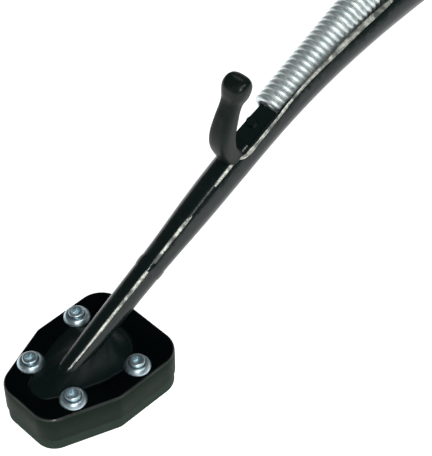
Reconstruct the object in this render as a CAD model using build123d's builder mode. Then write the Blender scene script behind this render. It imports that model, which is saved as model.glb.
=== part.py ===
"""Motorcycle side stand: forged leg, spring, foot enlarger and frame bracket.

Axes: +X from the foot towards the pivot, +Y towards the front of the motorcycle, +Z up.
Origin: centre of the bracket's mounting face. The stand is drawn down, standing on its sole.
Units are millimetres.
"""
from build123d import *
import os
from math import atan2, cos, degrees, radians, sin, sqrt

os.makedirs("parts", exist_ok=True)

# ---------------------------------------------------------------- overall layout
pivot_reach = 60.0          # mounting face to pivot bolt, along X
foot_reach = 405.0          # mounting face to the reference line of the foot plates
stand_height = 170.0        # pivot above the ground with the stand down
pivot_drop = 24.0           # pivot below the centre of the mounting face
pivot_tilt = 25.0           # pivot bolt leans outboard from vertical, degrees

# ---------------------------------------------------------------- clearances
running_gap = 0.03          # radial, turning pins in their bores
bolt_gap = 0.15             # radial, screws in clearance holes
seat_gap = 0.25             # radial, screw heads in cone washers
pocket_gap = 0.4            # foot rim to pocket wall
coil_gap = 1.3              # coil to the channel in the leg
stop_gap = 0.08             # leg to its stops at the ends of the swing
turn_gap = 0.05             # between neighbouring turns of the spring

# ---------------------------------------------------------------- foot plates
sole_thick = 10.1
plate_thick = 20.8
heel_edge = 48.6            # from the reference line towards the pivot
side_corner = -7.7
tip_edge = -54.0
heel_half = 39.6
tip_half = 22.5
heel_round = 17.0
side_round = 8.0
tip_round = 15.0
sole_inset = 0.8
top_chamfer = 1.8
screw_heel_x = 16.7
screw_heel_y = 28.6
screw_tip_x = -29.1
screw_tip_y = 20.2

# ---------------------------------------------------------------- fasteners of the foot
screw_d = 8.0
screw_head_d = 10.4
screw_head_h = 5.6
screw_socket_af = 5.0
screw_socket_deep = 3.4
cone_d = 17.7
cone_rim = 1.1
cone_h = 4.2
nut_af = 13.0
nut_h = 6.5
nut_pocket_gap = 0.15

# ---------------------------------------------------------------- foot forging
rim_thick = 8.0
rim_proud = 0.2
leg_slope = 28.9            # lower leg above the ground, degrees
toe_radius = 7.6
ankle_radius = 8.9
ankle_x = 56.0              # foot forging meets the leg bar here

# ---------------------------------------------------------------- leg bar
leg_line_x = 30.6           # a point on the leg's centre line, from the foot reference
leg_line_rise = 25.8        # and its height above the foot plates
bend_start_x = 118.0
neck_dip = 1.71             # bend's end above the start of the neck
mid_radius = 10.2
elbow_radius = 11.5
neck_radius = 12.0
spine_radius = 10.0         # extra metal under the spring's relief
spine_offset = 12.0
neck_root = 27.0            # pivot to the end of the round neck
kerf_gap = 0.6              # each side of the spring's lower hook in its slot
kerf_long = 27.0

weld_half = 3.0             # dressed weld at the ankle, half its length
weld_proud = 0.5

# ---------------------------------------------------------------- pivot
eye_radius = 15.0
eye_thick = 14.0
thrust_thick = 1.0
cheek_radius = 16.5
cheek_thick = 8.0
pivot_d = 12.0
pivot_thread_d = 10.0
bush_wall = 2.0
pivot_head_af = 18.0
pivot_head_h = 6.5
pivot_washer_d = 24.0
pivot_washer_thick = 2.0

# ---------------------------------------------------------------- kick tang
tang_gap = 39.6             # lowest turn of the spring to the middle of the tang's root, along X
tang_width = 16.4
knob_width = 19.4
knob_radius = 8.3

# ---------------------------------------------------------------- spring and its pins
wire_d = 4.2
coil_od = 23.5
coil_reach = 175.4          # pivot to the lowest turn, along X
coil_forward = 6.0          # lowest turn from the leg's middle, along Y
coil_dip = 0.77             # and below it
end_room = 40.9             # last turn to the spring post, along the spring
hook_drop = 15.0            # lowest turn to the anchor pin, along the spring
hook_slack = 0.6            # hook to pin, radial
relief_run = 1.2            # lowest turn to the end wall of the open channel
hook_run = 10.0             # lowest turn to the end of the covered hollow for the hook
hook_cover = 3.0            # spring line to the metal over that hollow
seat_run = 31.0             # lowest turn to the tang end of the shallow flat
seat_level = 6.5            # spring line to that flat
post_inboard = 9.0          # spring post from the pivot, in the swing plane
post_forward = 9.9
post_level = 36.0           # spring's end above the pivot's middle, along the bolt
post_d = 8.0
post_foot_d = 11.0
post_head_d = 12.0
anchor_d = 7.0

# ---------------------------------------------------------------- bracket
flange_thick = 10.0
flange_width = 84.0
flange_height = 70.0
flange_round = 10.0
mount_bolt_d = 10.5
mount_pitch_y = 60.0
mount_pitch_z = 46.0
body_width = 44.0
slot_end = 27.0             # pivot to the inboard end of the slot between the cheeks
stop_pin_d = 8.0
bump_pin_d = 6.0
bump_od = 12.0
lobe_radius = 7.5

# ================================================================ derived values
ground = -stand_height - pivot_drop
foot_x = -foot_reach
plate_low = ground + sole_thick
plate_top = plate_low + plate_thick
pivot_at = Vector(-pivot_reach, 0, -pivot_drop)
swing = Plane(
    origin=pivot_at,
    x_dir=(cos(radians(pivot_tilt)), 0, sin(radians(pivot_tilt))),
    z_dir=(-sin(radians(pivot_tilt)), 0, cos(radians(pivot_tilt))),
)
inboard = swing.x_dir
bolt_dir = swing.z_dir
neck_at = pivot_at - inboard * neck_root
cheek_low = eye_thick / 2 + thrust_thick
cheek_high = cheek_low + cheek_thick
bush_r = pivot_d / 2 + bush_wall
coil_r = (coil_od - wire_d) / 2
kerf_thick = wire_d + 2 * kerf_gap

# the leg is straight up to the bend, then a circle tangent to it that ends over the neck
leg_sin = sin(radians(leg_slope))
leg_cos = cos(radians(leg_slope))
leg_line_z = sole_thick + plate_thick + leg_line_rise
bend_start_z = leg_line_z + (bend_start_x - leg_line_x) * leg_sin / leg_cos
bend_run = neck_at.X - foot_x - bend_start_x
bend_rise = neck_at.Z + neck_dip - ground - bend_start_z
bend_radius = (bend_run**2 + bend_rise**2) / (2 * (bend_run * leg_sin - bend_rise * leg_cos))


def leg_point(x):
    """Centre line of the leg at a distance x inboard of the foot reference: (position, slope)."""
    slope = radians(leg_slope)
    z = leg_line_z + (x - leg_line_x) * leg_sin / leg_cos
    if x > bend_start_x:
        bent = leg_sin - (x - bend_start_x) / bend_radius
        z = bend_start_z + bend_radius * (sqrt(1 - bent**2) - leg_cos)
        slope = atan2(bent, sqrt(1 - bent**2))
    return Vector(foot_x + x, 0, ground + z), slope


def leg_plane(x):
    """Plane square to the leg; its x is +Y and its y points to the leg's outer side."""
    at, slope = leg_point(x)
    return Plane(origin=at, x_dir=(0, 1, 0), z_dir=(cos(slope), 0, sin(slope)))


# outline of the forged leg: angle from the outer side towards +Y, and radius factor
leg_shape = [
    (-24, 1.10), (-38, 1.10), (-54, 1.02), (-80, 1.0), (-110, 1.0), (-140, 1.0), (-170, 1.0),
    (160, 1.0), (130, 1.0), (100, 1.0), (75, 0.98), (50, 0.95), (25, 0.94), (0, 0.99),
]


def leg_outline(radius):
    """Closed curve of the leg's section with its forging ridge."""
    return [
        (k * radius * sin(radians(a)), k * radius * cos(radians(a)))
        for a, k in leg_shape
    ]


def plate_corners(inset):
    """Corners of the foot plates' outline, in order round the plate."""
    return [
        (foot_x + heel_edge - inset, heel_half - inset),
        (foot_x + side_corner, heel_half - inset),
        (foot_x + tip_edge + inset, tip_half - inset),
        (foot_x + tip_edge + inset, -tip_half + inset),
        (foot_x + side_corner, -heel_half + inset),
        (foot_x + heel_edge - inset, -heel_half + inset),
    ]


def near_x(points, x):
    """Corners of a sketch that lie at one station along X."""
    return [v for v in points if abs(v.X - x) < 0.5]


screw_spots = [
    (foot_x + screw_heel_x, screw_heel_y),
    (foot_x + screw_heel_x, -screw_heel_y),
    (foot_x + screw_tip_x, screw_tip_y),
    (foot_x + screw_tip_x, -screw_tip_y),
]

# outline of the forged foot's rim, half of it: distance inboard of the reference, half width
rim_half = [
    (-42.0, 6.5), (-34.0, 12.5), (-17.0, 18.8), (0.0, 23.6), (11.0, 24.4), (24.0, 17.0), (30.0, 7.0),
]


def rim_points(grow):
    """Closed outline of the foot's rim, grown outwards by a distance."""
    mid = -4.0
    side = [
        (foot_x + x + grow * (x - mid) / 38.0, y + grow)
        for x, y in rim_half
    ]
    return side + [(x, -y) for x, y in reversed(side)]


# ================================================================ foot plates
with BuildPart() as sole_plate:
    with BuildSketch(Plane.XY.offset(ground)) as sole_outline:
        with BuildLine():
            Polyline(*plate_corners(sole_inset), close=True)
        make_face()
        fillet(near_x(sole_outline.vertices(), foot_x + heel_edge - sole_inset), heel_round - sole_inset)
        fillet(near_x(sole_outline.vertices(), foot_x + side_corner), side_round)
        fillet(near_x(sole_outline.vertices(), foot_x + tip_edge + sole_inset), tip_round - sole_inset)
    extrude(amount=sole_thick)
    chamfer(sole_plate.faces().sort_by(Axis.Z)[0].edges(), 1.0)
    with BuildSketch(Plane.XY.offset(ground)):
        with Locations(*screw_spots):
            RegularPolygon(nut_af / 2 + nut_pocket_gap, 6, major_radius=False)
    extrude(amount=nut_h + 0.6, mode=Mode.SUBTRACT)
    with BuildSketch(Plane.XY.offset(ground)):
        with Locations(*screw_spots):
            Circle(screw_d / 2 + bolt_gap)
    extrude(amount=sole_thick, mode=Mode.SUBTRACT)
sole_plate.part.label = "sole_plate"
export_step(sole_plate.part, "parts/sole_plate.step")

with BuildPart() as upper_plate:
    with BuildSketch(Plane.XY.offset(plate_low)) as plate_outline:
        with BuildLine():
            Polyline(*plate_corners(0.0), close=True)
        make_face()
        fillet(near_x(plate_outline.vertices(), foot_x + heel_edge), heel_round)
        fillet(near_x(plate_outline.vertices(), foot_x + side_corner), side_round)
        fillet(near_x(plate_outline.vertices(), foot_x + tip_edge), tip_round)
    extrude(amount=plate_thick)
    chamfer(upper_plate.faces().sort_by(Axis.Z)[-1].edges(), top_chamfer)
    with BuildSketch(Plane.XY.offset(plate_top)):
        with BuildLine():
            Spline(*rim_points(pocket_gap), periodic=True)
        make_face()
    extrude(amount=-(rim_thick - rim_proud), mode=Mode.SUBTRACT)
    with BuildSketch(Plane.XY.offset(plate_low)):
        with Locations(*screw_spots):
            Circle(screw_d / 2 + bolt_gap)
    extrude(amount=plate_thick, mode=Mode.SUBTRACT)
upper_plate.part.label = "upper_plate"
export_step(upper_plate.part, "parts/upper_plate.step")

# ================================================================ foot forging
rim_low = plate_top - rim_thick + rim_proud
with BuildPart() as foot_forging:
    with BuildSketch(Plane.XY.offset(rim_low)):
        with BuildLine():
            Spline(*rim_points(0.0), periodic=True)
        make_face()
    extrude(amount=rim_thick)
    toe_to_ankle = ((-16.0, toe_radius), (20.0, (toe_radius + ankle_radius) / 2), (ankle_x, ankle_radius))
    for x, radius in toe_to_ankle:
        with BuildSketch(leg_plane(x)):
            with BuildLine():
                Spline(*leg_outline(radius), periodic=True)
            make_face()
    loft()
    with BuildSketch(Plane.XY.offset(rim_low + rim_thick)):
        with Locations((foot_x + 2.0, 0)):
            Ellipse(25.0, 17.0)
    with BuildSketch(Plane.XY.offset(rim_low + rim_thick + 10.0)):
        with Locations((foot_x + 8.0, 0)):
            Ellipse(13.0, 7.5)
    loft()
    with BuildSketch(Plane.XY.offset(rim_low)):
        with Locations((foot_x, 0)):
            Rectangle(200, 200)
    extrude(amount=-60.0, mode=Mode.SUBTRACT)
    with BuildSketch(Plane.XY.offset(plate_low)):
        with Locations(*screw_spots):
            Circle(screw_d / 2 + bolt_gap)
    extrude(amount=plate_thick + 2.0, mode=Mode.SUBTRACT)
foot_forging.part.label = "foot_forging"
export_step(foot_forging.part, "parts/foot_forging.step")

# ================================================================ foot fasteners
with BuildPart() as clamp_screws:
    with BuildSketch(Plane.XY.offset(ground + 1.0)):
        with Locations(*screw_spots):
            Circle(screw_d / 2)
    extrude(amount=sole_thick + plate_thick - 1.0 + cone_rim)
    with BuildSketch(Plane.XY.offset(plate_top + cone_rim)):
        with Locations(*screw_spots):
            Circle(screw_head_d / 2)
    extrude(amount=screw_head_h)
    with BuildSketch(Plane.XY.offset(plate_top + cone_rim + screw_head_h)):
        with Locations(*screw_spots):
            RegularPolygon(screw_socket_af / 2, 6, major_radius=False)
    extrude(amount=-screw_socket_deep, mode=Mode.SUBTRACT)
    chamfer(clamp_screws.edges().filter_by(GeomType.CIRCLE).group_by(Axis.Z)[-1], 0.9)
clamp_screws.part.label = "clamp_screws"
export_step(clamp_screws.part, "parts/clamp_screws.step")

with BuildPart() as cone_washers:
    for x, y in screw_spots:
        axis = Plane(origin=(x, y, plate_top), x_dir=(1, 0, 0), z_dir=(0, -1, 0))
        with BuildSketch(axis):
            with BuildLine():
                Polyline(
                    (screw_d / 2 + bolt_gap, rim_proud),
                    (cone_d / 2, rim_proud),
                    (cone_d / 2, cone_rim),
                    (screw_head_d / 2 + seat_gap + 0.9, cone_h),
                    (screw_head_d / 2 + seat_gap, cone_h),
                    (screw_head_d / 2 + seat_gap, cone_rim),
                    (screw_d / 2 + bolt_gap, cone_rim),
                    close=True,
                )
            make_face()
        revolve(axis=Axis((x, y, plate_top), (0, 0, 1)))
cone_washers.part.label = "cone_washers"
export_step(cone_washers.part, "parts/cone_washers.step")

with BuildPart() as sole_nuts:
    with BuildSketch(Plane.XY.offset(ground + 0.6)):
        with Locations(*screw_spots):
            RegularPolygon(nut_af / 2, 6, major_radius=False)
            Circle(screw_d / 2, mode=Mode.SUBTRACT)
    extrude(amount=nut_h)
sole_nuts.part.label = "sole_nuts"
export_step(sole_nuts.part, "parts/sole_nuts.step")

# ================================================================ spring line
post_at = pivot_at + inboard * post_inboard + Vector(0, post_forward, 0) + bolt_dir * post_level
coil_x = foot_reach - pivot_reach - coil_reach
coil_start = leg_point(coil_x)[0] + Vector(0, coil_forward, -coil_dip)
spring_dir = (post_at - coil_start).normalized()
spring_long = (post_at - coil_start).length
coil_pitch = wire_d + turn_gap
coil_turns = int((spring_long - end_room) / coil_pitch)
coil_length = coil_turns * coil_pitch
spring_frame = Plane(origin=coil_start, x_dir=Vector(0, 1, 0).cross(spring_dir), z_dir=spring_dir)
anchor_at = coil_start - spring_dir * hook_drop
anchor_plane = Plane(origin=anchor_at, x_dir=inboard, z_dir=bolt_dir)
# the folded stop is where the spring is again as long as it is with the stand down
anchor_local = swing.to_local_coords(anchor_at)
swing_angle = 2 * degrees(
    atan2(post_forward, post_inboard) + atan2(anchor_local.Y, -anchor_local.X)
)

# ================================================================ leg bar
neck_plane = Plane(origin=neck_at, x_dir=(0, 1, 0), z_dir=inboard)
# share of the bend's run and radius
bend_stations = [
    (0.0, elbow_radius), (0.232, elbow_radius), (0.464, elbow_radius), (0.711, neck_radius), (0.879, neck_radius),
]
leg_stations = [(ankle_x, ankle_radius), ((ankle_x + bend_start_x) / 2 - 3.0, mid_radius)]
leg_stations += [(bend_start_x + share * bend_run, radius) for share, radius in bend_stations]
# share of the spring from its lowest turn, share of the full spine
spine_stations = [(-0.30, 0.1), (-0.03, 0.95), (0.18, 1.0), (0.39, 0.9), (0.61, 0.3)]

with BuildPart() as leg_bar:
    for x, radius in leg_stations:
        with BuildSketch(leg_plane(x)):
            with BuildLine():
                Spline(*leg_outline(radius), periodic=True)
            make_face()
    with BuildSketch(neck_plane):
        Ellipse(neck_radius, eye_thick / 2)
    loft()
    for along, share in spine_stations:
        with BuildSketch(leg_plane(coil_x + along * (post_at.X - coil_start.X))):
            with Locations((spine_offset * share * 0.5, -spine_offset * share * 0.866)):
                Circle(spine_radius * (0.7 + 0.3 * share))
    loft()
    with BuildSketch(spring_frame.offset(-relief_run)):
        Circle(coil_od / 2 + coil_gap)
        with Locations((-20.0, 0)):
            Rectangle(40.0, coil_od + 2 * coil_gap)
    extrude(amount=coil_length + 70.0, mode=Mode.SUBTRACT)
    with BuildSketch(spring_frame.offset(-seat_run)):
        with Locations((-seat_level - 20.0, 20.0 - coil_od / 2 - coil_gap)):
            Rectangle(40.0, 40.0)
    extrude(amount=seat_run, mode=Mode.SUBTRACT)
    with BuildSketch(spring_frame.offset(-hook_run)):
        Circle(coil_od / 2 + coil_gap)
        with Locations((-hook_cover - 20.0, 0)):
            Rectangle(40.0, 60.0, mode=Mode.SUBTRACT)
    extrude(amount=hook_run, mode=Mode.SUBTRACT)
    with BuildSketch(anchor_plane.offset(-kerf_thick / 2)):
        with Locations((kerf_long / 2 - 10.0, 10.0)):
            Rectangle(kerf_long, 37.0)
    extrude(amount=kerf_thick, mode=Mode.SUBTRACT)
    with BuildSketch(anchor_plane.offset(-30.0)):
        Circle(anchor_d / 2)
    extrude(amount=60.0, mode=Mode.SUBTRACT)
    with BuildSketch(swing.offset(-eye_thick / 2)):
        Circle(eye_radius)
        with Locations((-neck_root / 2, 0)):
            Rectangle(neck_root, 2 * neck_radius - 1.0)
    extrude(amount=eye_thick)
    with BuildSketch(swing.offset(-eye_thick / 2)):
        Circle(bush_r)
    extrude(amount=eye_thick, mode=Mode.SUBTRACT)
leg_bar.part.label = "leg_bar"
export_step(leg_bar.part, "parts/leg_bar.step")

# ================================================================ weld between foot forging and leg
with BuildPart() as ankle_weld:
    for x, height in ((ankle_x - weld_half, 0.2), (ankle_x, weld_proud), (ankle_x + weld_half, 0.3)):
        with BuildSketch(leg_plane(x)):
            with BuildLine():
                Spline(*leg_outline(ankle_radius + height), periodic=True)
            make_face()
    loft()
    add(leg_bar.part, mode=Mode.SUBTRACT)
    add(foot_forging.part, mode=Mode.SUBTRACT)
ankle_weld.part.label = "ankle_weld"
export_step(ankle_weld.part, "parts/ankle_weld.step")

# ================================================================ kick tang
# side outline of the tang, from the leg's middle at the tang's root
tang_side = [
    (-8.0, -7.3), (-9.5, 8.2), (-12.0, 13.2), (-14.5, 18.7), (-15.7, 25.2), (-14.7, 33.2),
    (-11.0, 43.2), (-5.0, 55.7), (4.8, 52.2), (1.5, 46.2), (-0.5, 39.7), (-2.5, 32.2),
    (-2.7, 25.7), (-1.5, 19.7), (2.5, 14.2), (7.5, 8.2), (10.0, -5.3),
]
tang_x = coil_x - tang_gap
tang_at = leg_point(tang_x)[0]
knob_at = tang_at + Vector(2.8, 0, 61.5)
with BuildPart() as kick_tang:
    with BuildSketch(Plane.XZ.offset(-tang_width / 2)):
        with BuildLine():
            Polyline(*[(tang_at.X + x, tang_at.Z + z) for x, z in tang_side], close=True)
        make_face()
    extrude(amount=tang_width)
    fillet(kick_tang.edges().filter_by(Axis.Y).sort_by(Axis.Z)[2:10], 1.5)
    with BuildSketch(Plane(origin=knob_at, x_dir=(0, 1, 0), z_dir=(1, 0, 0))):
        with BuildLine():
            Polyline(
                (-knob_width / 2, 0),
                (-knob_width / 2, knob_radius - 3.5),
                (-knob_width / 2 + 3.5, knob_radius),
                (knob_width / 2 - 3.5, knob_radius),
                (knob_width / 2, knob_radius - 3.5),
                (knob_width / 2, 0),
                close=True,
            )
        make_face()
    revolve(axis=Axis(knob_at, (0, 1, 0)))
    add(leg_bar.part, mode=Mode.SUBTRACT)
    with BuildSketch(leg_plane(tang_x - 10.0)):
        with Locations((0, -20.0)):
            Rectangle(80.0, 40.0)
    extrude(amount=60.0, both=True, mode=Mode.SUBTRACT)
kick_tang.part.label = "kick_tang"
export_step(kick_tang.part, "parts/kick_tang.step")

# ================================================================ return spring
loop_low = anchor_d / 2 + wire_d / 2 + hook_slack
loop_high = post_d / 2 + wire_d / 2 + hook_slack
with BuildPart() as coil:
    with BuildLine():
        turns = Helix(pitch=coil_pitch, height=coil_length, radius=coil_r)
    with BuildSketch(Plane(origin=turns @ 0, z_dir=turns % 0)):
        Circle(wire_d / 2)
    sweep(path=turns, is_frenet=True)
with BuildPart() as low_hook:
    with BuildLine() as low_path:
        Spline(
            turns @ 0, (coil_r * 0.6, -coil_r * 0.7, -2.2), (0, -loop_low, -hook_drop + 3.0),
            tangents=(turns % 0 * -1, (0, 0, -1)),
        )
        Line((0, -loop_low, -hook_drop + 3.0), (0, -loop_low, -hook_drop))
        ThreePointArc((0, -loop_low, -hook_drop), (0, 0, -hook_drop - loop_low), (0, loop_low, -hook_drop))
    with BuildSketch(Plane(origin=turns @ 0, z_dir=turns % 0 * -1)):
        Circle(wire_d / 2)
    sweep(path=low_path.wires()[0])
with BuildPart() as high_hook:
    with BuildLine() as high_path:
        Spline(
            turns @ 1, (coil_r * 0.55, coil_r * 0.72, coil_length + 4.0), (0, loop_high, coil_length + 16.0),
            tangents=(turns % 1, (0, 0, 1)),
        )
        Line((0, loop_high, coil_length + 16.0), (0, loop_high, spring_long))
        ThreePointArc((0, loop_high, spring_long), (0, 0, spring_long + loop_high), (0, -loop_high, spring_long))
    with BuildSketch(Plane(origin=turns @ 1, z_dir=turns % 1)):
        Circle(wire_d / 2)
    sweep(path=high_path.wires()[0])
with BuildPart() as return_spring:
    add(coil.part)
    add(low_hook.part)
    add(high_hook.part)
return_spring.part.locate(Location(spring_frame))
return_spring.part.label = "return_spring"
export_step(return_spring.part, "parts/return_spring.step")

# ================================================================ anchor pin
with BuildPart() as anchor_pin:
    with BuildSketch(anchor_plane.offset(-9.0)):
        Circle(anchor_d / 2)
    extrude(amount=17.5)
anchor_pin.part.label = "anchor_pin"
export_step(anchor_pin.part, "parts/anchor_pin.step")

# ================================================================ pivot bolt, bush and washers
with BuildPart() as pivot_bush:
    with BuildSketch(swing.offset(-eye_thick / 2)):
        Circle(bush_r)
        Circle(pivot_d / 2 + running_gap, mode=Mode.SUBTRACT)
    extrude(amount=eye_thick)
pivot_bush.part.label = "pivot_bush"
export_step(pivot_bush.part, "parts/pivot_bush.step")

with BuildPart() as thrust_washers:
    for level in (-cheek_low, eye_thick / 2):
        with BuildSketch(swing.offset(level + 0.05)):
            Circle(eye_radius - 1.0)
            Circle(pivot_d / 2 + bolt_gap, mode=Mode.SUBTRACT)
        extrude(amount=thrust_thick - 0.1)
thrust_washers.part.label = "thrust_washers"
export_step(thrust_washers.part, "parts/thrust_washers.step")

with BuildPart() as pivot_bolt:
    with BuildSketch(swing.offset(-cheek_high - pivot_washer_thick)):
        RegularPolygon(pivot_head_af / 2, 6, major_radius=False)
    extrude(amount=-pivot_head_h)
    with BuildSketch(swing.offset(-cheek_high - pivot_washer_thick)):
        Circle(pivot_d / 2)
    extrude(amount=cheek_high + pivot_washer_thick + cheek_low)
    with BuildSketch(swing.offset(cheek_low)):
        Circle(pivot_thread_d / 2)
    extrude(amount=cheek_thick - 0.5)
pivot_bolt.part.label = "pivot_bolt"
export_step(pivot_bolt.part, "parts/pivot_bolt.step")

with BuildPart() as pivot_washer:
    with BuildSketch(swing.offset(-cheek_high - pivot_washer_thick)):
        Circle(pivot_washer_d / 2)
        Circle(pivot_d / 2 + bolt_gap, mode=Mode.SUBTRACT)
    extrude(amount=pivot_washer_thick)
pivot_washer.part.label = "pivot_washer"
export_step(pivot_washer.part, "parts/pivot_washer.step")

# ================================================================ bracket
folded = radians(180.0 + swing_angle)
stop_spot = (-13.0, neck_radius - 0.5 + stop_pin_d / 2 + stop_gap)
bump_along = 13.0
bump_across = neck_radius - 0.5 + bump_od / 2 + stop_gap
bump_spot = (
    bump_along * cos(folded) - bump_across * sin(folded),
    bump_along * sin(folded) + bump_across * cos(folded),
)
with BuildPart() as frame_bracket:
    with BuildSketch(swing.offset(-cheek_high)):
        with Locations((0, 0)):
            Circle(cheek_radius)
        with Locations(stop_spot, bump_spot):
            Circle(lobe_radius)
        with Locations((slot_end + 6.0, 0)):
            Rectangle(10.0, body_width)
        make_hull()
    extrude(amount=2 * cheek_high)
    with BuildSketch(Plane.XZ.offset(-body_width / 2)):
        with BuildLine():
            Polyline(
                (-pivot_reach + 22.0, -pivot_drop - 4.0),
                (-pivot_reach + 14.0, -pivot_drop + 20.0),
                (-4.0, 26.0),
                (-4.0, -26.0),
                close=True,
            )
        make_face()
    extrude(amount=body_width)
    with BuildSketch(Plane.YZ):
        RectangleRounded(flange_width, flange_height, flange_round)
    extrude(amount=-flange_thick)
    with BuildSketch(swing.offset(-cheek_low)):
        with Locations((slot_end / 2 - 30.0, 0)):
            Rectangle(slot_end + 60.0, body_width + 40.0)
    extrude(amount=2 * cheek_low, mode=Mode.SUBTRACT)
    with BuildSketch(swing.offset(-cheek_high)):
        Circle(pivot_d / 2 + bolt_gap)
    extrude(amount=cheek_thick, mode=Mode.SUBTRACT)
    with BuildSketch(swing.offset(cheek_low)):
        Circle(pivot_thread_d / 2)
        with Locations((post_inboard, post_forward)):
            Circle(post_d / 2)
    extrude(amount=cheek_thick, mode=Mode.SUBTRACT)
    with BuildSketch(swing.offset(-cheek_high)):
        with Locations(stop_spot):
            Circle(stop_pin_d / 2)
        with Locations(bump_spot):
            Circle(bump_pin_d / 2)
    extrude(amount=2 * cheek_high, mode=Mode.SUBTRACT)
    with BuildSketch(Plane.YZ):
        with GridLocations(mount_pitch_y, mount_pitch_z, 2, 2):
            Circle(mount_bolt_d / 2)
    extrude(amount=-flange_thick, mode=Mode.SUBTRACT)
frame_bracket.part.label = "frame_bracket"
export_step(frame_bracket.part, "parts/frame_bracket.step")

# ================================================================ stops and spring post
with BuildPart() as stop_pin:
    with BuildSketch(swing.offset(-cheek_high)):
        with Locations(stop_spot):
            Circle(stop_pin_d / 2)
    extrude(amount=2 * cheek_high)
stop_pin.part.label = "stop_pin"
export_step(stop_pin.part, "parts/stop_pin.step")

with BuildPart() as bump_pin:
    with BuildSketch(swing.offset(-cheek_high)):
        with Locations(bump_spot):
            Circle(bump_pin_d / 2)
    extrude(amount=2 * cheek_high)
bump_pin.part.label = "bump_pin"
export_step(bump_pin.part, "parts/bump_pin.step")

with BuildPart() as bump_roller:
    with BuildSketch(swing.offset(-cheek_low + 0.4)):
        with Locations(bump_spot):
            Circle(bump_od / 2)
            Circle(bump_pin_d / 2, mode=Mode.SUBTRACT)
    extrude(amount=2 * cheek_low - 0.8)
bump_roller.part.label = "bump_roller"
export_step(bump_roller.part, "parts/bump_roller.step")

with BuildPart() as spring_post:
    with BuildSketch(swing.offset(cheek_low)):
        with Locations((post_inboard, post_forward)):
            Circle(post_d / 2)
    extrude(amount=post_level - cheek_low + wire_d / 2 + 3.0)
    with BuildSketch(swing.offset(cheek_high)):
        with Locations((post_inboard, post_forward)):
            Circle(post_foot_d / 2)
    extrude(amount=post_level - cheek_high - wire_d / 2 - 1.0)
    with BuildSketch(swing.offset(post_level + wire_d / 2 + 1.0)):
        with Locations((post_inboard, post_forward)):
            Circle(post_head_d / 2)
    extrude(amount=2.5)
spring_post.part.label = "spring_post"
export_step(spring_post.part, "parts/spring_post.step")
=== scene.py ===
"""Motorcycle side stand: skins, finishes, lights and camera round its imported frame."""
from math import cos, pi, radians, sin

import bpy
import numpy as np
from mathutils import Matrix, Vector


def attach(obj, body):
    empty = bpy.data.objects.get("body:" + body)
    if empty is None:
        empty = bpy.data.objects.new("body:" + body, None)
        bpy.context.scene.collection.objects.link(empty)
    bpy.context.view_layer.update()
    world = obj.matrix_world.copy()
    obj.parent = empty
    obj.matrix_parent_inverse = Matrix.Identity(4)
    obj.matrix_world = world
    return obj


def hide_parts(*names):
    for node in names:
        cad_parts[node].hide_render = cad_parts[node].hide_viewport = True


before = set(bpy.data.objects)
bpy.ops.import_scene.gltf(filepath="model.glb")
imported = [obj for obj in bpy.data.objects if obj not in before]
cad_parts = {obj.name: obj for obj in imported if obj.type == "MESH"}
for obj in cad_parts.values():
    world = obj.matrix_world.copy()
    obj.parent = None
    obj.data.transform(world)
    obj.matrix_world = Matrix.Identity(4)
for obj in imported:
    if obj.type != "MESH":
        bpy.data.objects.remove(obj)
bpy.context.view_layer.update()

# ---------------------------------------------------------------- sizes, millimetres
FOOT_X = -405.0
GROUND = -194.0
SOLE_TOP = GROUND + 10.1
PLATE_TOP = SOLE_TOP + 20.8
PIVOT = np.array([-60.0, 0.0, -24.0])
INBOARD = np.array([cos(radians(25.0)), 0.0, sin(radians(25.0))])
BOLT_DIR = np.array([-sin(radians(25.0)), 0.0, cos(radians(25.0))])
ACROSS = np.array([0.0, 1.0, 0.0])
SCREW_SPOTS = [
    (FOOT_X + 16.7, 28.6), (FOOT_X + 16.7, -28.6), (FOOT_X - 29.1, 20.2), (FOOT_X - 29.1, -20.2),
]
ANKLE_X = 56.0
WEB_TOP = PLATE_TOP + 0.2
RIM_MIDDLE = np.array([FOOT_X - 4.0, 0.0])
COIL_LOW = np.array([-235.4, 6.0, -65.5])
POST = PIVOT + 9.0 * INBOARD + 9.9 * ACROSS + 36.0 * BOLT_DIR
WIRE = 4.2
COIL_R = 9.65
PITCH = 4.25
TURNS = 34


# ---------------------------------------------------------------- curves
def loop_curve(angles, values, at):
    """A closed curve of value against angle in degrees, through the given knots:
    cubic between neighbours, its slope at a knot that of the line joining the knots beside it."""
    order = np.argsort(angles)
    a = np.asarray(angles, float)[order]
    v = np.asarray(values, float)[order]
    a = np.concatenate([a[-2:] - 360, a, a[:3] + 360])
    v = np.concatenate([v[-2:], v, v[:3]])
    at = (np.asarray(at, float) - a[2]) % 360 + a[2]
    i = np.clip(np.searchsorted(a, at, side="right") - 1, 1, len(a) - 3)
    return hermite(a, v, i, at)


def run_curve(knots, values, at):
    """An open curve of values against a rising parameter, cubic between its knots."""
    a = np.asarray(knots, float)
    v = np.asarray(values, float)
    a = np.concatenate([[2 * a[0] - a[1]], a, [2 * a[-1] - a[-2]]])
    v = np.concatenate([[2 * v[0] - v[1]], v, [2 * v[-1] - v[-2]]])
    i = np.clip(np.searchsorted(a, at, side="right") - 1, 1, len(a) - 3)
    return hermite(a, v, i, at)


def hermite(a, v, i, at):
    """Cubic between knot i and the next, with slopes from the knots on both sides."""
    shape = (slice(None),) + (None,) * (v.ndim - 1)
    gap = (a[i + 1] - a[i])[shape]
    t = ((at - a[i]) / (a[i + 1] - a[i]))[shape]
    m0 = (v[i + 1] - v[i - 1]) / (a[i + 1] - a[i - 1])[shape] * gap
    m1 = (v[i + 2] - v[i]) / (a[i + 2] - a[i])[shape] * gap
    return (
        (2 * t**3 - 3 * t**2 + 1) * v[i] + (t**3 - 2 * t**2 + t) * m0
        + (3 * t**2 - 2 * t**3) * v[i + 1] + (t**3 - t**2) * m1
    )


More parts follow.
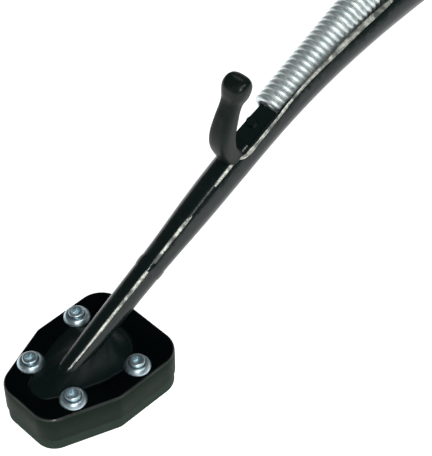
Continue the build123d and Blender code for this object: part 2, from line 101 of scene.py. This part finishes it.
def ease(x, low, high):
    """0 below low, 1 above high, and a smooth step between."""
    t = np.clip((x - low) / (high - low), 0, 1)
    return t * t * (3 - 2 * t)


# ---------------------------------------------------------------- skins
def shell(name, bodies_of_rings, body, finish, replaces=(), crisp=40.0):
    """A closed mesh through rings of points: each stack of rings (rows x columns x 3, mm) is joined row
    to row and round each ring, and both its ends are closed by a fan to their middle.
    A stack whose volume comes out negative is turned round, so that all faces look outwards."""
    points, faces, start = [], [], 0
    for rings in bodies_of_rings:
        rows, cols = rings.shape[:2]
        ends = np.array([rings[0].mean(0), rings[-1].mean(0)])
        flat = np.concatenate([rings.reshape(-1, 3), ends])
        r, c = np.meshgrid(np.arange(rows - 1), np.arange(cols), indexing="ij")
        a = (r * cols + c).ravel()
        b = (r * cols + (c + 1) % cols).ravel()
        quads = np.stack([a, b, b + cols, a + cols], 1)
        first = np.arange(cols)
        last = first + (rows - 1) * cols
        low_fan = np.stack([np.full(cols, rows * cols), np.roll(first, -1), first], 1)
        high_fan = np.stack([np.full(cols, rows * cols + 1), last, np.roll(last, -1)], 1)
        tris = np.concatenate([quads[:, [0, 1, 2]], quads[:, [0, 2, 3]], low_fan, high_fan])
        p = flat[tris]
        volume = np.einsum("ij,ij->i", p[:, 0], np.cross(p[:, 1], p[:, 2])).sum()
        if volume < 0:
            quads, low_fan, high_fan = quads[:, ::-1], low_fan[:, ::-1], high_fan[:, ::-1]
        faces += (quads + start).tolist() + (low_fan + start).tolist() + (high_fan + start).tolist()
        points.append(flat)
        start += len(flat)
    mesh = bpy.data.meshes.new(name)
    mesh.from_pydata((np.concatenate(points) * 0.001).tolist(), [], faces)
    mesh.polygons.foreach_set("use_smooth", np.ones(len(mesh.polygons), bool))
    mesh.set_sharp_from_angle(angle=radians(crisp))
    mesh.update()
    obj = bpy.data.objects.new(name, mesh)
    bpy.context.scene.collection.objects.link(obj)
    mesh.materials.append(finish)
    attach(obj, body)
    if replaces:
        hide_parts(*replaces)
    return obj


def tube(path, side, radius, columns=16):
    """Rings of a round wire: at each path point a circle across the path, turned from a side direction."""
    along = np.gradient(path, axis=0)
    along /= np.linalg.norm(along, axis=1)[:, None]
    u = side - (side * along).sum(1)[:, None] * along
    u /= np.linalg.norm(u, axis=1)[:, None]
    w = np.cross(along, u)
    phi = np.linspace(0, 2 * pi, columns, endpoint=False)
    radius = np.broadcast_to(radius, len(path))[:, None, None]
    return path[:, None] + radius * (
        np.cos(phi)[None, :, None] * u[:, None] + np.sin(phi)[None, :, None] * w[:, None]
    )


def turned(spot, profile, columns=72):
    """Rings of a lathe profile (radius, height) about an upright line through a spot."""
    profile = np.asarray(profile, float)
    phi = np.linspace(0, 2 * pi, columns, endpoint=False)
    ring = np.stack([np.cos(phi), np.sin(phi), np.zeros(columns)], 1)
    base = np.array([spot[0], spot[1], 0.0])
    return base + profile[:, 0, None, None] * ring + profile[:, 1, None, None] * np.array([0, 0, 1.0])


# ---------------------------------------------------------------- finishes
class Wire:
    """One output of a shader node; arithmetic on it adds Math nodes to the same finish."""

    def __init__(self, finish, socket):
        self.finish = finish
        self.socket = socket

    def calc(self, operation, a, b):
        return self.finish.node("ShaderNodeMath", {"operation": operation}, {0: a, 1: b})

    def __add__(self, other):
        return self.calc("ADD", self, other)

    def __radd__(self, other):
        return self.calc("ADD", other, self)

    def __sub__(self, other):
        return self.calc("SUBTRACT", self, other)

    def __rsub__(self, other):
        return self.calc("SUBTRACT", other, self)

    def __mul__(self, other):
        return self.calc("MULTIPLY", self, other)

    def __rmul__(self, other):
        return self.calc("MULTIPLY", other, self)


class Finish:
    """One surface finish, built up node by node."""

    def __init__(self, name):
        self.material = bpy.data.materials.new(name)
        self.material.use_nodes = True
        self.tree = self.material.node_tree
        self.tree.nodes.clear()
        self.place = self.node("ShaderNodeTexCoord", {}, {}, "Object")

    def node(self, kind, settings, inputs, output=0):
        """Adds a node: its settings first, then the values or wires of its inputs; gives one output."""
        made = self.tree.nodes.new(kind)
        for key, value in settings.items():
            setattr(made, key, value)
        for key, value in inputs.items():
            if isinstance(value, Wire):
                self.tree.links.new(value.socket, made.inputs[key])
            else:
                made.inputs[key].default_value = value
        return Wire(self, made.outputs[output]) if len(made.outputs) else None

    def ramp(self, value, low, high):
        """0 to 1 as a value goes from low to high, smoothly."""
        return self.node(
            "ShaderNodeMapRange", {"interpolation_type": "SMOOTHSTEP"},
            {"Value": value, "From Min": low, "From Max": high, "To Min": 0.0, "To Max": 1.0},
        )

    def grain(self, scale, detail=3.0, stretch=(1.0, 1.0, 1.0)):
        """Cloudy noise of a given number of features to a metre, stretched along the axes."""
        place = self.node("ShaderNodeMapping", {}, {"Vector": self.place, "Scale": stretch})
        return self.node(
            "ShaderNodeTexNoise", {}, {"Vector": place, "Scale": scale, "Detail": detail, "Roughness": 0.55}
        )

    def blend(self, share, a, b):
        """Colour a where share is 0 and colour b where it is 1."""
        return self.node("ShaderNodeMix", {"data_type": "RGBA"}, {0: share, 6: a, 7: b}, 2)

    def bump(self, height, strength, depth, under=None):
        """Relief from a height, over another relief if one is given."""
        inputs = {"Height": height, "Strength": strength, "Distance": depth}
        if under is not None:
            inputs["Normal"] = under
        return self.node("ShaderNodeBump", {}, inputs)

    def done(self, **sockets):
        """Closes the finish with a Principled surface."""
        inputs = {key.replace("_", " "): value for key, value in sockets.items()}
        shader = self.node("ShaderNodeBsdfPrincipled", {}, inputs)
        self.node("ShaderNodeOutputMaterial", {}, {"Surface": shader})
        return self.material


def tint(r, g, b):
    """A colour with full cover."""
    return (r, g, b, 1.0)


def gloss_paint(name, rough, gloss, dent):
    """Thick gloss black on a forging: orange peel, slow dents, thin dust and dull patches."""
    f = Finish(name)
    dull = f.ramp(f.grain(45.0, 4.0), 0.45, 0.75)
    dust = f.ramp(f.grain(160.0, 5.0), 0.55, 0.8)
    colour = f.blend(dust * 0.5, tint(0.0035, 0.0090, 0.0082), tint(0.012, 0.019, 0.016))
    peel = f.bump(f.grain(700.0, 2.0), 0.08, 0.0005)
    dents = f.bump(f.grain(95.0, 2.0), dent, 0.0010, peel)
    return f.done(Base_Color=colour, Roughness=rough + dull * 0.12, Normal=dents, Specular_IOR_Level=gloss)


def ridge_paint():
    """The forging's ridge: pale streaks painted on as a painted highlight, with a rough cast-like grain."""
    f = Finish("ridge_highlight_paint")
    highlight_streak = f.ramp(f.grain(130.0, 4.0), 0.36, 0.58)
    pit = f.ramp(f.grain(650.0, 3.0), 0.35, 0.6)
    # pale streaks blended into the base colour: a painted highlight along the ridge
    colour = f.blend(highlight_streak * (0.35 + pit * 0.65), tint(0.085, 0.095, 0.085), tint(0.62, 0.64, 0.57))
    relief = f.bump(f.grain(800.0, 3.0), 0.45, 0.0006)
    return f.done(Base_Color=colour, Roughness=0.30 + pit * 0.15, Metallic=highlight_streak * 0.5, Normal=relief)


def satin_paint():
    """Thinner satin black with rubbed grey patches and fine speckle."""
    f = Finish("satin_black_paint")
    worn = f.ramp(f.grain(120.0, 4.0), 0.5, 0.75)
    height = f.node("ShaderNodeSeparateXYZ", {}, {"Vector": f.place}, "Z")
    knob = f.ramp(height, -0.032, -0.024)
    colour = f.blend(worn * 0.7, tint(0.0060, 0.0110, 0.0090), tint(0.016, 0.021, 0.017))
    relief = f.bump(f.grain(900.0, 2.0), 0.18, 0.0005)
    return f.done(
        Base_Color=colour, Roughness=0.40 + worn * 0.12 - knob * 0.16, Normal=relief, Specular_IOR_Level=0.17,
    )


def anodised(name, top, side, rough, gloss):
    """Milled and anodised plate: near black top faces, sides painted greyer than the top as painted light, a
    painted highlight on the rounded top edges, and fine upright tool lines.
    """
    f = Finish(name)
    facing = f.node("ShaderNodeNewGeometry", {}, {}, "Normal")
    level = f.node("ShaderNodeSeparateXYZ", {}, {"Vector": facing}, "Z")
    upright = f.ramp(level, 0.55, 0.95)
    cloud = f.ramp(f.grain(60.0, 4.0), 0.4, 0.8)
    # walls lighter than the top faces by their facing: painted light
    walls = f.blend(cloud, side, tint(side[0] * 1.35, side[1] * 1.3, side[2] * 1.3))
    colour = f.blend(upright, walls, top)
    # the band between wall and top is lightened in colour: a painted highlight on the rounded edges (the coat
    # there is real gloss)
    edge = f.ramp(level, 0.2, 0.5) * (1 - f.ramp(level, 0.7, 0.95))
    colour = f.blend(edge * (0.35 + cloud * 0.65), colour, tint(0.045, 0.050, 0.046))
    lines = f.bump(f.grain(1500.0, 2.0, (1.0, 1.0, 0.04)), 0.10, 0.0003)
    speck = f.bump(f.grain(2600.0, 1.0), 0.12, 0.0003, lines)
    return f.done(
        Base_Color=colour, Roughness=rough + cloud * 0.10, Normal=speck, Specular_IOR_Level=gloss,
        Coat_Weight=edge * 0.8, Coat_Roughness=0.22,
    )


def zinc(name, rough, tone):
    """Blue-bright zinc plate: cool metal with faint cloudy patches, fine scratches and dull specks."""
    f = Finish(name)
    cloud = f.ramp(f.grain(220.0, 4.0), 0.35, 0.7)
    speck = f.ramp(f.grain(900.0, 3.0), 0.6, 0.8)
    dark = tint(0.86 * tone[0], 0.90 * tone[1], 0.92 * tone[2])
    colour = f.blend(cloud, dark, tint(*tone))
    colour = f.blend(speck * 0.35, colour, tint(0.6 * tone[0], 0.66 * tone[1], 0.70 * tone[2]))
    relief = f.bump(f.grain(1400.0, 2.0), 0.07, 0.0002)
    return f.done(
        Base_Color=colour, Metallic=1.0, Roughness=rough + cloud * 0.06 + speck * 0.06, Normal=relief,
    )


def bronze():
    """Turned bronze with darker oiled patches."""
    f = Finish("turned_bronze")
    cloud = f.ramp(f.grain(180.0, 4.0), 0.35, 0.7)
    colour = f.blend(cloud, tint(0.42, 0.25, 0.10), tint(0.60, 0.40, 0.19))
    relief = f.bump(f.grain(1600.0, 2.0), 0.12, 0.0003)
    return f.done(Base_Color=colour, Metallic=1.0, Roughness=0.32 + cloud * 0.15, Normal=relief)


def rubber():
    """Matt black rubber with a fine moulded grain."""
    f = Finish("black_rubber")
    cloud = f.ramp(f.grain(140.0, 4.0), 0.4, 0.75)
    colour = f.blend(cloud, tint(0.012, 0.012, 0.012), tint(0.028, 0.028, 0.027))
    relief = f.bump(f.grain(1800.0, 2.0), 0.3, 0.0004)
    return f.done(Base_Color=colour, Roughness=0.7 + cloud * 0.12, Normal=relief)


GLOSS = gloss_paint("gloss_black_paint", 0.22, 0.42, 0.20)
WEB = gloss_paint("thin_black_paint", 0.42, 0.10, 0.04)
RIDGE = ridge_paint()
SATIN = satin_paint()
# each side colour is set lighter than its top colour: painted light on the plate walls
PLATE = anodised(
    "black_anodised_plate", tint(0.0008, 0.0022, 0.0024), tint(0.0075, 0.0150, 0.0098), 0.45, 0.022,
)
SOLE = anodised("black_sole_plate", tint(0.008, 0.010, 0.009), tint(0.020, 0.034, 0.025), 0.60, 0.05)
ZINC = zinc("bright_zinc", 0.34, (0.56, 0.68, 0.72))
SPRING_ZINC = zinc("spring_zinc", 0.50, (0.84, 0.89, 0.87))
BRONZE = bronze()
RUBBER = rubber()


# ---------------------------------------------------------------- leg section
LEG_RADII = ([-16.0, 20.0, ANKLE_X, 84.0, 118.0, 212.0, 262.0], [7.5, 8.25, 8.9, 10.2, 11.5, 11.5, 12.0])
LEG_SHAPE = [
    (-24, 1.10), (-38, 1.10), (-54, 1.02), (-80, 1.0), (-110, 1.0), (-140, 1.0), (-170, 1.0),
    (160, 1.0), (130, 1.0), (100, 1.0), (75, 0.98), (50, 0.95), (25, 0.94), (0, 0.99),
]


def leg_line(x):
    """Middle of the leg x mm inboard of the foot's middle: a straight line, then a circle that flattens
    out. Gives the points, the direction along the leg and the direction of its outer side."""
    x = np.asarray(x, float)
    s0 = sin(radians(28.9))
    c0 = cos(radians(28.9))
    bent = s0 - np.maximum(x - 118.0, 0) / 446.0
    straight = 56.7 + (np.minimum(x, 118.0) - 30.6) * s0 / c0
    z = straight + 446.0 * (np.sqrt(1 - bent**2) - c0)
    nil = np.zeros_like(x)
    middle = np.stack([FOOT_X + x, nil, GROUND + z], -1)
    along = np.stack([np.sqrt(1 - bent**2), nil, bent], -1)
    outer = np.stack([-bent, nil, np.sqrt(1 - bent**2)], -1)
    return middle, along, outer


# ---------------------------------------------------------------- foot forging
def rim_reach(turn):
    """Distance from the rim's middle to the forging's rim, against the angle from the toe in degrees."""
    knots = np.array([9.7, 22.6, 55.3, 99.6, 121.6, 148.7, 168.4])
    reach = np.array([38.6, 32.5, 22.9, 23.9, 28.6, 32.8, 34.7])
    return loop_curve(np.concatenate([knots, 360 - knots]), np.concatenate([reach, reach]), turn)


def leg_ring(x, radius, turn):
    """Rings of the leg's ridged section at stations x: radius times the shape factor of the angle."""
    middle, along, outer = leg_line(x)
    a = np.radians(turn)
    size = radius[:, None] * loop_curve(*zip(*LEG_SHAPE), turn)
    side = np.sin(a)[None, :, None] * ACROSS + np.cos(a)[None, :, None] * outer[:, None]
    return middle[:, None] + size[..., None] * side


def foot_web():
    """The forged foot: an egg-shaped rim with a rounded edge, and over it a concave skin that climbs to a
    point inside the leg as a power of the distance from the rim, flatter at the sides than at the toe."""
    turn = np.linspace(0, 360, 180, endpoint=False)
    rim = rim_reach(turn)
    a = np.radians(turn)
    out = np.stack([-np.cos(a), np.sin(a), np.zeros_like(a)], 1)
    centre = np.append(RIM_MIDDLE, 0.0)
    walls = [(0.0, -7.9), (0.0, -1.1), (0.2, -0.5), (0.6, -0.12), (1.2, 0.0)]
    rings = [centre + (rim - back)[:, None] * out + np.array([0, 0, WEB_TOP + z]) for back, z in walls]
    start = rings[-1]
    climb = 17.0
    peak = np.array([FOOT_X + 17.0, 0, WEB_TOP + climb])
    s = np.linspace(0.02, 0.97, 44)[:, None]
    power = 1.75 - 0.42 * ((1 + np.cos(a)) / 2) ** 2
    skin = start[None] + (peak - start)[None] * s[..., None]
    skin[..., 2] = WEB_TOP + climb * s ** power
    return np.concatenate([np.array(rings), skin])


def foot_neck():
    """The round leg runs straight down through the web: ridged sections that shrink towards the toe."""
    x = np.linspace(ANKLE_X, -26.0, 60)
    radius = np.interp(x, [-26.0, -16.0, 20.0, ANKLE_X], [4.6, 7.4, 8.25, 8.9])
    return leg_ring(x, radius, np.linspace(0, 360, 120, endpoint=False))


shell("forged_web", [foot_web()], "leg", WEB, ["foot_forging"], 60.0)
shell("forged_neck", [foot_neck()], "leg", GLOSS, (), 60.0)


# ---------------------------------------------------------------- ridge of the forging, carrying a painted highlight
def ridge_rings(x, angle, width, height):
    """A low rounded land laid along the leg: at each station an oval, width across the skin and height
    above it, carried along a line of given angles round the leg."""
    fine = np.linspace(0, len(x) - 1, 260)
    knots = np.arange(len(x))
    run = run_curve(knots, np.stack([x, angle, width, height], 1).astype(float), fine)
    radius = np.interp(run[:, 0], *LEG_RADII)
    middle, along, outer = leg_line(run[:, 0])
    a = np.radians(run[:, 1])[:, None]
    away = np.sin(a) * ACROSS + np.cos(a) * outer
    round_it = np.cross(along, away)
    size = radius * loop_curve(*zip(*LEG_SHAPE), run[:, 1])
    ripple = 1 + 0.10 * np.sin(fine * 1.9) + 0.07 * np.sin(fine * 4.3 + 1.0)
    phi = np.linspace(0, 2 * pi, 18, endpoint=False)
    across = (run[:, 2] * ripple / 2)[:, None, None] * np.cos(phi)[None, :, None] * round_it[:, None]
    up = (run[:, 3])[:, None, None] * np.sin(phi)[None, :, None] * away[:, None]
    return (middle + away * (size - 0.08)[:, None])[:, None] + across + up


crest = ridge_rings(
    [-14.0, 4.0, 20.0, 44.0, 73.0, 99.0, 120.0, 131.0],
    [-36.0, -36.0, -35.0, -34.5, -32.5, -32.5, -32.5, -32.5],
    [0.5, 1.4, 2.2, 2.3, 2.1, 2.1, 2.3, 2.4],
    [0.10, 0.25, 0.32, 0.32, 0.30, 0.30, 0.30, 0.30],
)
lip = ridge_rings(
    [128.5, 129.0, 130.0, 133.5, 138.0, 144.0, 156.0, 167.0, 176.0, 190.0, 214.0, 239.0, 262.0, 292.0],
    [34.0, 10.0, -18.0, -40.0, -49.0, -50.0, -48.0, -45.0, -40.5, -37.0, -35.5, -32.0, -30.0, -29.0],
    [2.0, 2.2, 2.4, 2.6, 2.8, 2.8, 2.4, 1.9, 1.8, 2.2, 2.8, 3.4, 3.4, 3.0],
    [0.6, 0.8, 0.9, 0.9, 0.8, 0.7, 0.5, 0.4, 0.4, 0.45, 0.5, 0.5, 0.5, 0.4],
)
# a low strip along the crest and the lip, painted pale as a painted highlight
shell("painted_highlight_ridge", [crest, lip], "leg", RIDGE, (), 60.0)


# ---------------------------------------------------------------- foot plate
def plate_outline(inset, arc=14):
    """Six-cornered plate outline with round corners: each corner's arc is swung about a fixed centre,
    so that every inset of the outline stays an even distance inside it."""
    corners = np.array([
        (48.6, 39.6, 17.0), (-7.7, 39.6, 8.0), (-54.0, 22.5, 15.0),
        (-54.0, -22.5, 15.0), (-7.7, -39.6, 8.0), (48.6, -39.6, 17.0),
    ])
    points = []
    for i in range(6):
        at, before, after = corners[i, :2], corners[i - 1, :2], corners[(i + 1) % 6, :2]
        u = (before - at) / np.linalg.norm(before - at)
        w = (after - at) / np.linalg.norm(after - at)
        half = np.arccos(np.clip(u @ w, -1, 1)) / 2
        middle = at + (u + w) / np.linalg.norm(u + w) * corners[i, 2] / sin(half)
        n0 = np.array([-u[1], u[0]])
        n1 = np.array([w[1], -w[0]])
        n0 *= np.sign((at - middle) @ n0)
        n1 *= np.sign((at - middle) @ n1)
        t = np.linspace(0, 1, arc)[:, None]
        n = n0 * (1 - t) + n1 * t
        n /= np.linalg.norm(n, axis=1)[:, None]
        arc_points = middle + (corners[i, 2] - inset) * n
        points.append(arc_points)
    ring = np.concatenate(points)
    return ring + np.array([FOOT_X, 0])


def spread(ring, count):
    """A closed ring of points, more points put in along its long sides: share of the index, not length."""
    closed = np.concatenate([ring, ring[:1]])
    step = np.linalg.norm(np.diff(closed, axis=0), axis=1)
    pieces = np.maximum(1, np.round(step / step.sum() * count)).astype(int)
    starts = np.repeat(np.arange(len(ring)), pieces)
    share = np.concatenate([np.arange(p) / p for p in pieces])[:, None]
    return starts, share


def plate_rings(rows, pocket=None):
    """Rings of a flat plate: rows of (inset, height) from its lower face round the edge to the top,
    then, with a pocket, on to the pocket's edge, down its wall and to its floor."""
    base = plate_outline(0.0)
    starts, share = spread(base, 220)
    rings = []
    for inset, z in rows:
        line = plate_outline(inset)
        line = np.concatenate([line, line[:1]])
        ring = line[starts] * (1 - share) + line[starts + 1] * share
        rings.append(np.column_stack([ring, np.full(len(ring), z)]))
    if pocket:
        rel = rings[0][:, :2] - RIM_MIDDLE
        turn = np.degrees(np.arctan2(rel[:, 1], -rel[:, 0]))
        rim = rim_reach(turn)
        for grow, z in pocket:
            a = np.radians(turn)
            ring = RIM_MIDDLE + np.column_stack([-np.cos(a), np.sin(a)]) * (rim + grow)[:, None]
            rings.append(np.column_stack([ring, np.full(len(ring), z)]))
    return np.array(rings)


def edge_round(radius, z, steps=7):
    """Rows of (inset, height) round a top edge of a given radius, from its side to its top."""
    t = np.linspace(0, pi / 2, steps)
    return [(radius * (1 - cos(v)), z - radius + radius * sin(v)) for v in t]


POCKET_FLOOR = PLATE_TOP - 7.8
plate_rows = [(12.0, SOLE_TOP), (0.5, SOLE_TOP), (0.0, SOLE_TOP + 0.5)]
plate_rows += edge_round(2.2, PLATE_TOP) + [(6.0, PLATE_TOP)]
pocket_rows = [(0.9, PLATE_TOP), (0.45, PLATE_TOP - 0.3), (0.4, POCKET_FLOOR), (-12.0, POCKET_FLOOR)]
plate_skin = plate_rings(plate_rows, pocket_rows)
shell("bored_plate", [plate_skin], "leg", PLATE, ["upper_plate"], 50.0)


# ---------------------------------------------------------------- foot fasteners
def washer_profile():
    """Domed washer: a thin rim, then a dome that rises to a collar, cut with fine turning rings."""
    r = np.linspace(8.75, 6.3, 34)
    swell = (8.75 - r) / (8.75 - 6.3)
    dome = 1.25 + 2.95 * np.sin(swell * pi / 2 * 0.92) ** 0.9
    rings = 0.028 * np.sin(swell * 2 * pi * 6)
    outside = np.column_stack([r, dome + rings])
    start = [(4.15, 0.2), (8.6, 0.2), (8.85, 0.45), (8.85, 0.95)]
    collar = [(6.15, 4.2), (5.75, 4.25), (5.5, 4.0), (5.45, 1.2), (4.15, 1.15)]
    return np.concatenate([start, outside, collar])


def washers():
    """Four domed washers; the profile is closed on itself, so each is a ring with a bore."""
    profile = washer_profile()
    profile = np.concatenate([profile, profile[:1]])
    return [turned(spot, profile + np.array([0, PLATE_TOP])) for spot in SCREW_SPOTS]


def screw(spot, columns=96):
    """A button-headed screw: crown, rounded shoulder and a six-sided socket; the socket's walls
    lie at the apothem divided by the cosine of the angle from the middle of a side."""
    phi = np.linspace(0, 2 * pi, columns, endpoint=False)
    hexagon = 1 / np.cos((phi + pi / 12) % (pi / 3) - pi / 6)
    even = np.ones(columns)
    top = PLATE_TOP + 1.1 + 5.6
    t = np.linspace(0, pi / 2, 8)
    rows = [(4.0, GROUND + 1.0, 0), (4.0, PLATE_TOP + 1.1, 0), (5.2, PLATE_TOP + 1.12, 0)]
    rows += [(5.2 - 1.3 * (1 - cos(v)), top - 1.3 + 1.3 * sin(v), 0) for v in t]
    rows += [(3.35, top, 0.0), (2.62, top - 0.25, 0.6), (2.5, top - 0.5, 1.0)]
    rows += [(2.5, top - 3.2, 1.0), (0.6, top - 3.6, 0.3)]
    rings = []
    for r, z, six in rows:
        radius = r * (even * (1 - six) + hexagon * six)
        across = radius * np.cos(phi)
        rings.append(np.stack([spot[0] + across, spot[1] + radius * np.sin(phi), even * z], 1))
    return np.array(rings)


shell("domed_washers", washers(), "leg", ZINC, ["cone_washers"], 35.0)
shell("socket_screws", [screw(s) for s in SCREW_SPOTS], "leg", ZINC, ["clamp_screws"], 35.0)


# ---------------------------------------------------------------- return spring
def spring_rings():
    """One wire: 34 close turns of a helix, and at each end a cubic that leaves the last turn and
    runs to a half-round hook in line with the spring's axis."""
    axis = POST - COIL_LOW
    long = np.linalg.norm(axis)
    axis /= long
    side = np.cross(ACROSS, axis)
    side /= np.linalg.norm(side)
    third = np.cross(axis, side)
    phi = np.linspace(0, 2 * pi * TURNS, TURNS * 40 + 1)
    coil = np.stack([COIL_R * np.cos(phi), COIL_R * np.sin(phi), PITCH * phi / (2 * pi)], 1)
    low_r = 3.5 + WIRE / 2 + 0.6
    high_r = 4.0 + WIRE / 2 + 0.6
    half = np.linspace(0, pi, 20)[:, None]
    t = np.linspace(0, 1, 26)[1:-1, None]

    def lead(p0, p1, m0, m1):
        """Cubic from p0 to p1 with the given end directions."""
        return (
            (2 * t**3 - 3 * t**2 + 1) * p0 + (t**3 - 2 * t**2 + t) * m0
            + (3 * t**2 - 2 * t**3) * p1 + (t**3 - t**2) * m1
        )

    def hook(middle, radius, way):
        """Half round about a middle, from one side of it to the other by way of the spring's end."""
        bend = np.cos(half) * np.array([0, way, 0]) + np.sin(half) * np.array([0, 0, way])
        return np.array([0, 0, middle]) + radius * bend

    low_at = np.array([0, -low_r, -12.0])
    low_bend = hook(-15.0, low_r, -1)
    low_lead = lead(coil[0], low_at, np.array([0, -20.0, -1.5]), np.array([0, 0, -16.0]))
    high_at = np.array([0, high_r, long - 16.0])
    high_bend = hook(long, high_r, 1)
    high_lead = lead(coil[-1], high_at, np.array([0, 20.0, 1.5]), np.array([0, 0, 40.0]))
    straight = np.linspace(high_at, high_bend[0], 8)[:-1]
    low_end = [low_bend[::-1], low_at[None], low_lead[::-1]]
    path = np.concatenate(low_end + [coil, high_lead, straight, high_bend])
    count = len(path)
    where = np.arange(count)
    first = len(low_bend) + 1
    last = first + len(low_lead) + len(coil)
    upright = ease(where, first, first + len(low_lead)) * (1 - ease(where, last, last + len(high_lead)))
    ref = upright[:, None] * np.array([0, 0, 1.0]) + (1 - upright[:, None]) * np.array([1.0, 0, 0])
    ends = 1 - 0.45 * np.clip(1 - np.minimum(where, count - 1 - where) / 2.0, 0, 1)
    rings = tube(path, ref, WIRE / 2 * ends, 14)
    return COIL_LOW + rings[..., :1] * side + rings[..., 1:2] * third + rings[..., 2:] * axis


shell("wound_spring", [spring_rings()], "spring", SPRING_ZINC, ["return_spring"], 70.0)


# ---------------------------------------------------------------- kick tang
def tang_rings():
    """A bent strap that ends in a knob: sections between a heel-side and a foot-side point, each a
    rounded rectangle |a|^n + |b|^n = 1, the numbers carried smoothly from section to section."""
    rows = np.array([
        # foot side x, z; pivot side x, z; half width; squareness
        (122.0, 104.0, 140.0, 106.0, 8.2, 3.4),
        (121.0, 114.0, 139.0, 114.0, 8.2, 3.4),
        (120.5, 119.5, 137.5, 119.5, 8.3, 3.4),
        (118.0, 124.5, 132.5, 125.5, 8.2, 3.4),
        (115.5, 130.0, 128.5, 131.0, 8.2, 3.4),
        (114.3, 136.5, 127.3, 137.0, 8.1, 3.4),
        (115.3, 144.5, 127.5, 143.5, 7.9, 3.4),
        (119.0, 154.5, 129.5, 151.0, 7.4, 3.2),
        (122.3, 161.5, 131.5, 157.5, 7.0, 3.0),
        (124.2, 166.5, 134.0, 162.5, 7.3, 2.8),
        (124.6, 170.6, 138.0, 166.3, 8.8, 2.6),
        (125.6, 175.2, 140.3, 170.8, 9.5, 2.6),
        (128.0, 178.3, 141.0, 174.8, 9.1, 2.5),
        (131.0, 180.0, 140.0, 178.0, 7.4, 2.4),
        (133.8, 180.3, 138.0, 179.3, 4.0, 2.2),
    ])
    at = np.linspace(0, len(rows) - 1, 150)
    run = run_curve(np.arange(len(rows)), rows, at)
    foot_side = np.stack([FOOT_X + run[:, 0], 0 * at, GROUND + run[:, 1]], 1)
    pivot_side = np.stack([FOOT_X + run[:, 2], 0 * at, GROUND + run[:, 3]], 1)
    middle = (foot_side + pivot_side) / 2
    reach = (pivot_side - foot_side) / 2
    phi = np.linspace(0, 2 * pi, 72, endpoint=False)
    power = (2 / run[:, 5])[:, None]
    a = np.sign(np.cos(phi)) * np.abs(np.cos(phi)) ** power
    b = np.sign(np.sin(phi)) * np.abs(np.sin(phi)) ** power
    return middle[:, None] + a[..., None] * reach[:, None] + b[..., None] * (run[:, 4, None, None] * ACROSS)


shell("forged_tang", [tang_rings()], "leg", SATIN, ["kick_tang"], 60.0)


# ---------------------------------------------------------------- finishes of the frame's own pieces
def dress(node, finish):
    """Gives a frame node its finish."""
    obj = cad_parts[node]
    obj.data.materials.clear()
    obj.data.materials.append(finish)


for node, finish, slot in (
    ("leg_bar", GLOSS, "black_gloss"),
    ("frame_bracket", SATIN, "black_paint"),
    ("spring_post", ZINC, "zinc"),
    ("stop_pin", ZINC, "zinc"),
    ("bump_pin", ZINC, "zinc"),
    ("bump_roller", RUBBER, "rubber"),
    ("pivot_bolt", ZINC, "zinc"),
    ("pivot_washer", ZINC, "zinc"),
    ("thrust_washers", BRONZE, "bronze"),
    ("pivot_bush", BRONZE, "bronze"),
    ("anchor_pin", GLOSS, "black_gloss"),
    ("ankle_weld", GLOSS, "black_gloss"),
    ("sole_plate", SOLE, "sole_black"),
    ("sole_nuts", ZINC, "zinc"),
):
    dress(node, finish)


# ---------------------------------------------------------------- floor, lights and camera
def floor():
    """A wide pale floor just under the sole, faintly glowing so that it stays even."""
    size = 6.0
    mesh = bpy.data.meshes.new("floor")
    z = GROUND * 0.001 - 0.0005
    corners = [(-size, -size, z), (size, -size, z), (size, size, z), (-size, size, z)]
    mesh.from_pydata(corners, [], [(0, 1, 2, 3)])
    obj = bpy.data.objects.new("floor", mesh)
    bpy.context.scene.collection.objects.link(obj)
    f = Finish("pale_floor")
    cloud = f.grain(3.0, 2.0)
    shade = f.blend(cloud, tint(0.86, 0.86, 0.86), tint(0.90, 0.90, 0.90))
    mesh.materials.append(
        f.done(Base_Color=shade, Roughness=0.9, Emission_Color=tint(1, 1, 1), Emission_Strength=0.95)
    )


def softbox(name, place, aim, width, height, power):
    """A rectangular lamp at a place, facing a point."""
    lamp = bpy.data.lights.new(name, "AREA")
    lamp.shape = "RECTANGLE"
    lamp.size = width
    lamp.size_y = height
    lamp.energy = power
    obj = bpy.data.objects.new(name, lamp)
    bpy.context.scene.collection.objects.link(obj)
    direction = np.array(aim) - np.array(place)
    obj.location = place
    obj.rotation_euler = Vector(direction).to_track_quat("-Z", "Y").to_euler()


floor()
softbox("front_box", (-1.45, -1.25, 1.15), (-0.25, 0.0, -0.08), 0.35, 0.35, 16.0)
softbox("crest_strip", (-0.38, -0.77, 1.20), (-0.25, 0.0, -0.08), 1.15, 0.13, 9.0)
softbox("far_box", (0.9, 1.0, 1.3), (-0.25, 0.0, -0.08), 0.5, 0.5, 1.5)

world = bpy.data.worlds.new("studio")
world.use_nodes = True
world.node_tree.nodes["Background"].inputs["Color"].default_value = tint(0.85, 0.95, 1.0)
world.node_tree.nodes["Background"].inputs["Strength"].default_value = 0.08
bpy.context.scene.world = world
bpy.context.scene.view_settings.view_transform = "Standard"

camera = bpy.data.objects.new("camera", bpy.data.cameras.new("camera"))
bpy.context.scene.collection.objects.link(camera)
camera.data.lens = 125.0
camera.data.sensor_width = 36.0
camera.data.sensor_fit = "HORIZONTAL"
camera.data.clip_start = 0.01
camera.data.clip_end = 50.0
camera.location = (-0.77635, -0.48655, 0.56943)
camera.rotation_euler = (radians(44.5), 0.0, radians(-45.0))
bpy.context.scene.camera = camera

bpy.context.view_layer.update()
